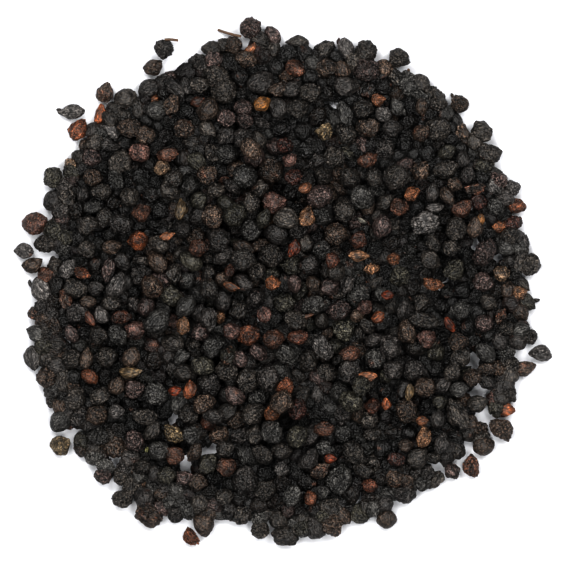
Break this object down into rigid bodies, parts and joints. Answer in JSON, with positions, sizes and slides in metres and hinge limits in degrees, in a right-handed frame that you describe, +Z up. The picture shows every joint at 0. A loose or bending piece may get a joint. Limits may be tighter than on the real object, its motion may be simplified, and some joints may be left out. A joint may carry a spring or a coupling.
{
  "type": "heap of dried elderberries",
  "caption": "Round, low heap of small dried wrinkled berries with loose ones and short stalks round its edge, lying on a flat underside.",
  "frame": {"origin": "on the resting plane, under the middle of the whole heap's box", "axes": "+Z up from the surface that the heap lies on; +X to the right and +Y away, as the heap is seen from above"},
  "size_m": [0.117, 0.115, 0.0104],
  "materials": {
    "ripe_skin": "dried, wrinkled, waxy skin with small dull highlights",
    "unripe_skin": "dried, finely wrinkled skin, russet and dull",
    "bare_seed": "dry seed, finely ribbed",
    "stalk": "dry, thin and matte"
  },
  "bodies": {
    "root": {"bare_seed_01": "bare_seed", "bare_seed_02": "bare_seed", "heaped_berries": "ripe_skin", "oval_berry_01": "ripe_skin", "oval_berry_02": "ripe_skin", "oval_berry_03": "ripe_skin", "oval_berry_04": "ripe_skin", "oval_berry_05": "ripe_skin", "oval_berry_06": "ripe_skin", "oval_berry_07": "ripe_skin", "oval_berry_08": "ripe_skin", "oval_berry_09": "ripe_skin", "oval_berry_10": "ripe_skin", "oval_berry_11": "ripe_skin", "plump_berry_01": "ripe_skin", "plump_berry_02": "ripe_skin", "plump_berry_03": "ripe_skin", "plump_berry_04": "ripe_skin", "plump_berry_05": "ripe_skin", "plump_berry_06": "ripe_skin", "plump_berry_07": "ripe_skin", "plump_berry_08": "ripe_skin", "plump_berry_09": "ripe_skin", "plump_berry_10": "ripe_skin", "plump_berry_11": "ripe_skin", "plump_berry_12": "ripe_skin", "plump_berry_13": "ripe_skin", "plump_berry_14": "ripe_skin", "plump_berry_15": "ripe_skin", "plump_berry_16": "ripe_skin", "plump_berry_17": "ripe_skin", "plump_berry_18": "ripe_skin", "plump_berry_19": "ripe_skin", "pointed_berry_01": "ripe_skin", "pointed_berry_02": "ripe_skin", "pointed_berry_03": "ripe_skin", "pointed_berry_04": "ripe_skin", "pointed_berry_05": "ripe_skin", "pointed_berry_06": "ripe_skin", "pointed_berry_07": "ripe_skin", "pointed_berry_08": "ripe_skin", "pointed_berry_09": "ripe_skin", "pointed_berry_10": "ripe_skin", "pointed_berry_11": "ripe_skin", "ridged_berry_01": "ripe_skin", "ridged_berry_02": "ripe_skin", "ridged_berry_03": "ripe_skin", "ridged_berry_04": "ripe_skin", "ridged_berry_05": "ripe_skin", "split_berry_01": "ripe_skin", "split_berry_02": "ripe_skin", "split_berry_03": "ripe_skin", "stalk_1": "stalk", "stalk_2": "stalk", "stalk_3": "stalk", "unripe_berry_01": "unripe_skin", "unripe_berry_02": "unripe_skin", "unripe_berry_03": "unripe_skin", "unripe_berry_04": "unripe_skin", "unripe_berry_05": "unripe_skin"}
  },
  "joints": []
}
